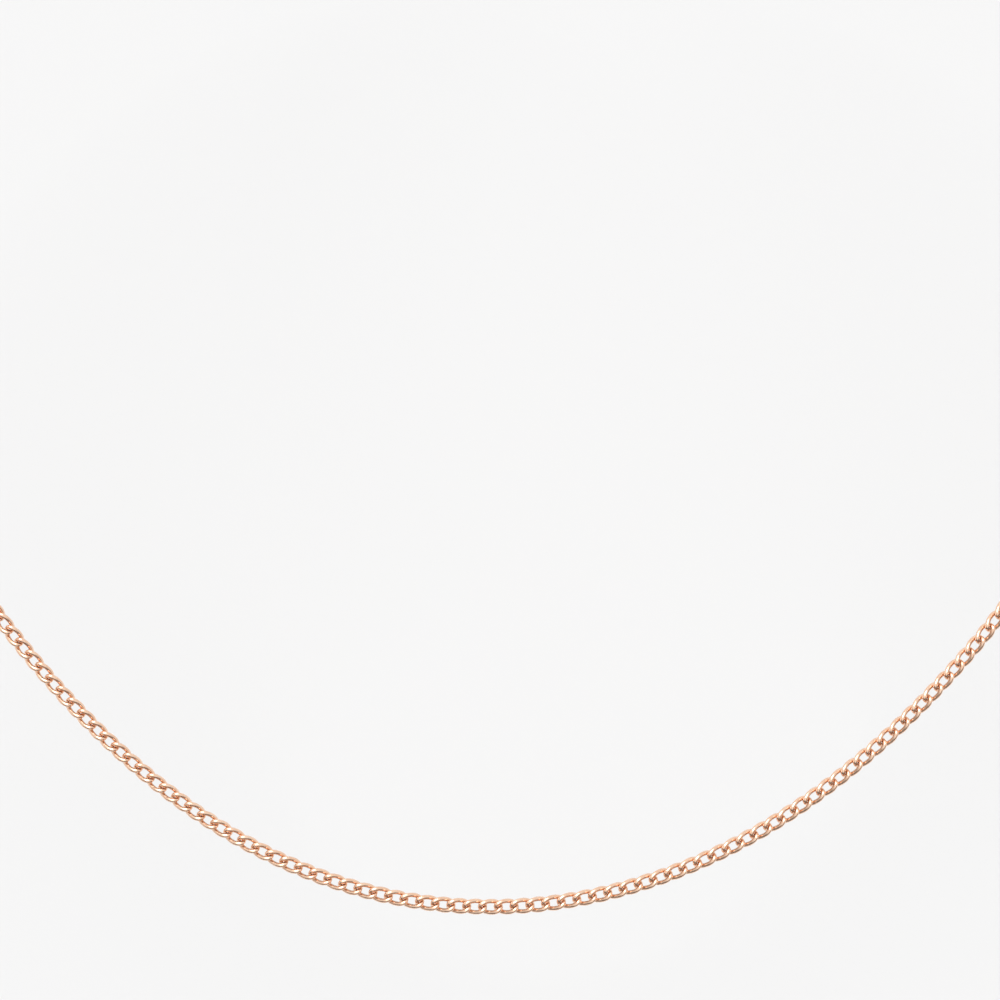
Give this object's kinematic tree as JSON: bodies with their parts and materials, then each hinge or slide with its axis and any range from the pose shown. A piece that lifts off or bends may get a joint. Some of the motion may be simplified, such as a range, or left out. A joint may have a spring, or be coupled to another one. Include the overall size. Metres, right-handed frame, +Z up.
{
  "type": "chain necklace",
  "caption": "Fine rose-gold curb chain necklace laid out in an open loop, with an undone lobster clasp at one end and an end ring at the other.",
  "frame": {"origin": "middle of the bounding box's base; the clasp and rings stand on z = 0 and the chain is level with their middles", "axes": "+X across the loop, towards the end ring's side; +Y from the bottom of the loop up to the open clasp; +Z up out of the flat chain, towards the viewer of the picture"},
  "size_m": [0.1572, 0.1502, 0.0022],
  "materials": {
    "rose_gold": "polished rose gold",
    "spring_steel": "plain spring strip"
  },
  "bodies": {
    "links_bottom": {"links_bottom": "rose_gold"},
    "links_left_01": {"links_left_01": "rose_gold"},
    "links_left_02": {"links_left_02": "rose_gold"},
    "links_left_03": {"links_left_03": "rose_gold"},
    "links_left_04": {"links_left_04": "rose_gold"},
    "links_left_05": {"links_left_05": "rose_gold"},
    "links_left_06": {"links_left_06": "rose_gold"},
    "links_left_07": {"links_left_07": "rose_gold"},
    "links_left_08": {"links_left_08": "rose_gold"},
    "links_left_09": {"links_left_09": "rose_gold"},
    "links_left_10": {"links_left_10": "rose_gold"},
    "links_left_11": {"links_left_11": "rose_gold"},
    "links_left_12": {"links_left_12": "rose_gold"},
    "links_left_13": {"links_left_13": "rose_gold"},
    "links_left_14": {"links_left_14": "rose_gold"},
    "links_left_15": {"links_left_15": "rose_gold"},
    "links_left_16": {"links_left_16": "rose_gold"},
    "links_left_17": {"links_left_17": "rose_gold"},
    "links_left_18": {"links_left_18": "rose_gold"},
    "links_left_19": {"links_left_19": "rose_gold"},
    "links_left_20": {"links_left_20": "rose_gold"},
    "links_left_21": {"links_left_21": "rose_gold"},
    "links_left_22": {"links_left_22": "rose_gold"},
    "links_left_23": {"links_left_23": "rose_gold"},
    "links_left_24": {"links_left_24": "rose_gold"},
    "links_left_25": {"links_left_25": "rose_gold"},
    "links_left_26": {"links_left_26": "rose_gold"},
    "links_right_01": {"links_right_01": "rose_gold"},
    "links_right_02": {"links_right_02": "rose_gold"},
    "links_right_03": {"links_right_03": "rose_gold"},
    "links_right_04": {"links_right_04": "rose_gold"},
    "links_right_05": {"links_right_05": "rose_gold"},
    "links_right_06": {"links_right_06": "rose_gold"},
    "links_right_07": {"links_right_07": "rose_gold"},
    "links_right_08": {"links_right_08": "rose_gold"},
    "links_right_09": {"links_right_09": "rose_gold"},
    "links_right_10": {"links_right_10": "rose_gold"},
    "links_right_11": {"links_right_11": "rose_gold"},
    "links_right_12": {"links_right_12": "rose_gold"},
    "links_right_13": {"links_right_13": "rose_gold"},
    "links_right_14": {"links_right_14": "rose_gold"},
    "links_right_15": {"links_right_15": "rose_gold"},
    "links_right_16": {"links_right_16": "rose_gold"},
    "links_right_17": {"links_right_17": "rose_gold"},
    "links_right_18": {"links_right_18": "rose_gold"},
    "links_right_19": {"links_right_19": "rose_gold"},
    "links_right_20": {"links_right_20": "rose_gold"},
    "links_right_21": {"links_right_21": "rose_gold"},
    "links_right_22": {"links_right_22": "rose_gold"},
    "links_right_23": {"links_right_23": "rose_gold"},
    "links_right_24": {"links_right_24": "rose_gold"},
    "links_right_25": {"links_right_25": "rose_gold"},
    "links_right_26": {"links_right_26": "rose_gold"},
    "jump_ring": {"jump_ring": "rose_gold"},
    "end_ring": {"end_ring": "rose_gold"},
    "clasp_body": {"clasp_body": "rose_gold", "clasp_rivet": "rose_gold", "clasp_spring": "spring_steel"},
    "clasp_trigger": {"clasp_trigger": "rose_gold"}
  },
  "joints": [
    {"name": "clasp_trigger_open", "type": "hinge", "parent": "clasp_body", "child": "clasp_trigger", "pos_m": [-0.01844, 0.07111, 0], "axis": [0, 0, 1], "range_deg": [0, 20], "stiffness_Nm_per_rad": 0.001},
    {"name": "clasp_swivel", "type": "hinge", "parent": "jump_ring", "child": "clasp_body", "pos_m": [-0.02175, 0.07154, 0.00112], "axis": [0, 0, 1], "range_deg": [-20, 20]},
    {"name": "jump_ring_swing", "type": "hinge", "parent": "links_left_26", "child": "jump_ring", "pos_m": [-0.02377, 0.07114, 0.00112], "axis": [0.2067, -0.9784, 0], "range_deg": [-25, 25]},
    {"name": "end_ring_swing", "type": "hinge", "parent": "links_right_26", "child": "end_ring", "pos_m": [0.02707, 0.07011, 0.00112], "axis": [-0.2553, -0.9669, 0], "range_deg": [-25, 25]},
    {"name": "link_left_01_bend", "type": "hinge", "parent": "links_bottom", "child": "links_left_01", "pos_m": [-0.006, -0.074, 0.00112], "axis": [0, 0, 1], "range_deg": [-12, 12]},
    {"name": "link_right_01_bend", "type": "hinge", "parent": "links_bottom", "child": "links_right_01", "pos_m": [0.00202, -0.07412, 0.00112], "axis": [0, 0, 1], "range_deg": [-12, 12]},
    {"name": "link_left_02_fold", "type": "hinge", "parent": "links_left_01", "child": "links_left_02", "pos_m": [-0.01391, -0.07285, 0.00112], "axis": [0.2081, 0.9781, 0], "range_deg": [-20, 20]},
    {"name": "link_right_02_fold", "type": "hinge", "parent": "links_right_01", "child": "links_right_02", "pos_m": [0.00996, -0.07323, 0.00112], "axis": [-0.1742, 0.9847, 0], "range_deg": [-20, 20]},
    {"name": "link_left_03_bend", "type": "hinge", "parent": "links_left_02", "child": "links_left_03", "pos_m": [-0.02161, -0.07069, 0.00112], "axis": [0, 0, -1], "range_deg": [-12, 12]},
    {"name": "link_right_03_bend", "type": "hinge", "parent": "links_right_02", "child": "links_right_03", "pos_m": [0.01774, -0.07136, 0.00112], "axis": [0, 0, -1], "range_deg": [-12, 12]},
    {"name": "link_left_04_fold", "type": "hinge", "parent": "links_left_03", "child": "links_left_04", "pos_m": [-0.02898, -0.06761, 0.00112], "axis": [-0.4392, -0.8984, 0], "range_deg": [-20, 20]},
    {"name": "link_right_04_fold", "type": "hinge", "parent": "links_right_03", "child": "links_right_04", "pos_m": [0.02524, -0.0686, 0.00112], "axis": [0.397, -0.9178, 0], "range_deg": [-20, 20]},
    {"name": "link_left_05_bend", "type": "hinge", "parent": "links_left_04", "child": "links_left_05", "pos_m": [-0.03596, -0.0637, 0.00112], "axis": [0, 0, -1], "range_deg": [-12, 12]},
    {"name": "link_right_05_bend", "type": "hinge", "parent": "links_right_04", "child": "links_right_05", "pos_m": [0.03238, -0.06505, 0.00112], "axis": [0, 0, -1], "range_deg": [-12, 12]},
    {"name": "link_left_06_fold", "type": "hinge", "parent": "links_left_05", "child": "links_left_06", "pos_m": [-0.0425, -0.0591, 0.00112], "axis": [-0.6147, -0.7888, 0], "range_deg": [-20, 20]},
    {"name": "link_right_06_fold", "type": "hinge", "parent": "links_right_05", "child": "links_right_06", "pos_m": [0.03917, -0.06079, 0.00112], "axis": [0.5705, -0.8213, 0], "range_deg": [-20, 20]},
    {"name": "link_left_07_bend", "type": "hinge", "parent": "links_left_06", "child": "links_left_07", "pos_m": [-0.04859, -0.05391, 0.00112], "axis": [0, 0, 1], "range_deg": [-12, 12]},
    {"name": "link_right_07_bend", "type": "hinge", "parent": "links_right_06", "child": "links_right_07", "pos_m": [0.04554, -0.05595, 0.00112], "axis": [0, 0, 1], "range_deg": [-12, 12]},
    {"name": "link_left_08_fold", "type": "hinge", "parent": "links_left_07", "child": "links_left_08", "pos_m": [-0.05424, -0.04825, 0.00112], "axis": [0.7331, 0.6802, 0], "range_deg": [-20, 20]},
    {"name": "link_right_08_fold", "type": "hinge", "parent": "links_right_07", "child": "links_right_08", "pos_m": [0.0515, -0.05062, 0.00112], "axis": [-0.6942, 0.7197, 0], "range_deg": [-20, 20]},
    {"name": "link_left_09_bend", "type": "hinge", "parent": "links_left_08", "child": "links_left_09", "pos_m": [-0.05948, -0.04221, 0.00112], "axis": [0, 0, 1], "range_deg": [-12, 12]},
    {"name": "link_right_09_bend", "type": "hinge", "parent": "links_right_08", "child": "links_right_09", "pos_m": [0.05706, -0.04487, 0.00112], "axis": [0, 0, 1], "range_deg": [-12, 12]},
    {"name": "link_left_10_fold", "type": "hinge", "parent": "links_left_09", "child": "links_left_10", "pos_m": [-0.06435, -0.03587, 0.00112], "axis": [0.8094, 0.5872, 0], "range_deg": [-20, 20]},
    {"name": "link_right_10_fold", "type": "hinge", "parent": "links_right_09", "child": "links_right_10", "pos_m": [0.06226, -0.03879, 0.00112], "axis": [-0.7784, 0.6277, 0], "range_deg": [-20, 20]},
    {"name": "link_left_11_bend", "type": "hinge", "parent": "links_left_10", "child": "links_left_11", "pos_m": [-0.06872, -0.02917, 0.00112], "axis": [0, 0, -1], "range_deg": [-12, 12]},
    {"name": "link_right_11_bend", "type": "hinge", "parent": "links_right_10", "child": "links_right_11", "pos_m": [0.06696, -0.03232, 0.00112], "axis": [0, 0, -1], "range_deg": [-12, 12]},
    {"name": "link_left_12_fold", "type": "hinge", "parent": "links_left_11", "child": "links_left_12", "pos_m": [-0.07228, -0.02201, 0.00112], "axis": [-0.9202, -0.3913, 0], "range_deg": [-20, 20]},
    {"name": "link_right_12_fold", "type": "hinge", "parent": "links_right_11", "child": "links_right_12", "pos_m": [0.07087, -0.02535, 0.00112], "axis": [0.8995, -0.4368, 0], "range_deg": [-20, 20]},
    {"name": "link_left_13_bend", "type": "hinge", "parent": "links_left_12", "child": "links_left_13", "pos_m": [-0.07497, -0.01448, 0.00112], "axis": [0, 0, -1], "range_deg": [-12, 12]},
    {"name": "link_right_13_bend", "type": "hinge", "parent": "links_right_12", "child": "links_right_13", "pos_m": [0.07393, -0.01796, 0.00112], "axis": [0, 0, -1], "range_deg": [-12, 12]},
    {"name": "link_left_14_fold", "type": "hinge", "parent": "links_left_13", "child": "links_left_14", "pos_m": [-0.07676, -0.00669, 0.00112], "axis": [-0.9861, -0.166, 0], "range_deg": [-20, 20]},
    {"name": "link_right_14_fold", "type": "hinge", "parent": "links_right_13", "child": "links_right_14", "pos_m": [0.07611, -0.01027, 0.00112], "axis": [0.9766, -0.2151, 0], "range_deg": [-20, 20]},
    {"name": "link_left_15_bend", "type": "hinge", "parent": "links_left_14", "child": "links_left_15", "pos_m": [-0.07762, 0.00126, 0.00112], "axis": [0, 0, 1], "range_deg": [-12, 12]},
    {"name": "link_right_15_bend", "type": "hinge", "parent": "links_right_14", "child": "links_right_15", "pos_m": [0.07737, -0.00237, 0.00112], "axis": [0, 0, 1], "range_deg": [-12, 12]},
    {"name": "link_left_16_fold", "type": "hinge", "parent": "links_left_15", "child": "links_left_16", "pos_m": [-0.07755, 0.00926, 0.00112], "axis": [0.9977, -0.0684, 0], "range_deg": [-20, 20]},
    {"name": "link_right_16_fold", "type": "hinge", "parent": "links_right_15", "child": "links_right_16", "pos_m": [0.07769, 0.00562, 0.00112], "axis": [-0.9998, -0.0185, 0], "range_deg": [-20, 20]},
    {"name": "link_left_17_bend", "type": "hinge", "parent": "links_left_16", "child": "links_left_17", "pos_m": [-0.07654, 0.01717, 0.00112], "axis": [0, 0, 1], "range_deg": [-12, 12]},
    {"name": "link_right_17_bend", "type": "hinge", "parent": "links_right_16", "child": "links_right_17", "pos_m": [0.07708, 0.01359, 0.00112], "axis": [0, 0, 1], "range_deg": [-12, 12]},
    {"name": "link_left_18_fold", "type": "hinge", "parent": "links_left_17", "child": "links_left_18", "pos_m": [-0.0746, 0.02492, 0.00112], "axis": [0.9543, -0.2989, 0], "range_deg": [-20, 20]},
    {"name": "link_right_18_fold", "type": "hinge", "parent": "links_right_17", "child": "links_right_18", "pos_m": [0.07553, 0.02143, 0.00112], "axis": [-0.968, -0.2511, 0], "range_deg": [-20, 20]},
    {"name": "link_left_19_bend", "type": "hinge", "parent": "links_left_18", "child": "links_left_19", "pos_m": [-0.07177, 0.0324, 0.00112], "axis": [0, 0, -1], "range_deg": [-12, 12]},
    {"name": "link_right_19_bend", "type": "hinge", "parent": "links_right_18", "child": "links_right_19", "pos_m": [0.07307, 0.02904, 0.00112], "axis": [0, 0, -1], "range_deg": [-12, 12]},
    {"name": "link_left_20_fold", "type": "hinge", "parent": "links_left_19", "child": "links_left_20", "pos_m": [-0.06808, 0.03949, 0.00112], "axis": [-0.8583, 0.5131, 0], "range_deg": [-20, 20]},
    {"name": "link_right_20_fold", "type": "hinge", "parent": "links_right_19", "child": "links_right_20", "pos_m": [0.06974, 0.03631, 0.00112], "axis": [0.8828, 0.4698, 0], "range_deg": [-20, 20]},
    {"name": "link_left_21_bend", "type": "hinge", "parent": "links_left_20", "child": "links_left_21", "pos_m": [-0.06357, 0.04612, 0.00112], "axis": [0, 0, -1], "range_deg": [-12, 12]},
    {"name": "link_right_21_bend", "type": "hinge", "parent": "links_right_20", "child": "links_right_21", "pos_m": [0.06557, 0.04313, 0.00112], "axis": [0, 0, -1], "range_deg": [-12, 12]},
    {"name": "link_left_22_fold", "type": "hinge", "parent": "links_left_21", "child": "links_left_22", "pos_m": [-0.05832, 0.05215, 0.00112], "axis": [-0.7149, 0.6993, 0], "range_deg": [-20, 20]},
    {"name": "link_right_22_fold", "type": "hinge", "parent": "links_right_21", "child": "links_right_22", "pos_m": [0.06064, 0.04942, 0.00112], "axis": [0.7489, 0.6627, 0], "range_deg": [-20, 20]},
    {"name": "link_left_23_bend", "type": "hinge", "parent": "links_left_22", "child": "links_left_23", "pos_m": [-0.05241, 0.05753, 0.00112], "axis": [0, 0, 1], "range_deg": [-12, 12]},
    {"name": "link_right_23_bend", "type": "hinge", "parent": "links_right_22", "child": "links_right_23", "pos_m": [0.055, 0.05509, 0.00112], "axis": [0, 0, 1], "range_deg": [-12, 12]},
    {"name": "link_left_24_fold", "type": "hinge", "parent": "links_left_23", "child": "links_left_24", "pos_m": [-0.0459, 0.06218, 0.00112], "axis": [0.5321, -0.8467, 0], "range_deg": [-20, 20]},
    {"name": "link_right_24_fold", "type": "hinge", "parent": "links_right_23", "child": "links_right_24", "pos_m": [0.04873, 0.06005, 0.00112], "axis": [-0.5738, -0.819, 0], "range_deg": [-20, 20]},
    {"name": "link_left_25_bend", "type": "hinge", "parent": "links_left_24", "child": "links_left_25", "pos_m": [-0.03889, 0.06603, 0.00112], "axis": [0, 0, 1], "range_deg": [-12, 12]},
    {"name": "link_right_25_bend", "type": "hinge", "parent": "links_right_24", "child": "links_right_25", "pos_m": [0.04192, 0.06425, 0.00112], "axis": [0, 0, 1], "range_deg": [-12, 12]},
    {"name": "link_left_26_fold", "type": "hinge", "parent": "links_left_25", "child": "links_left_26", "pos_m": [-0.03148, 0.06903, 0.00112], "axis": [0.3201, -0.9474, 0], "range_deg": [-20, 20]},
    {"name": "link_right_26_fold", "type": "hinge", "parent": "links_right_25", "child": "links_right_26", "pos_m": [0.03467, 0.06762, 0.00112], "axis": [-0.367, -0.9302, 0], "range_deg": [-20, 20]}
  ]
}
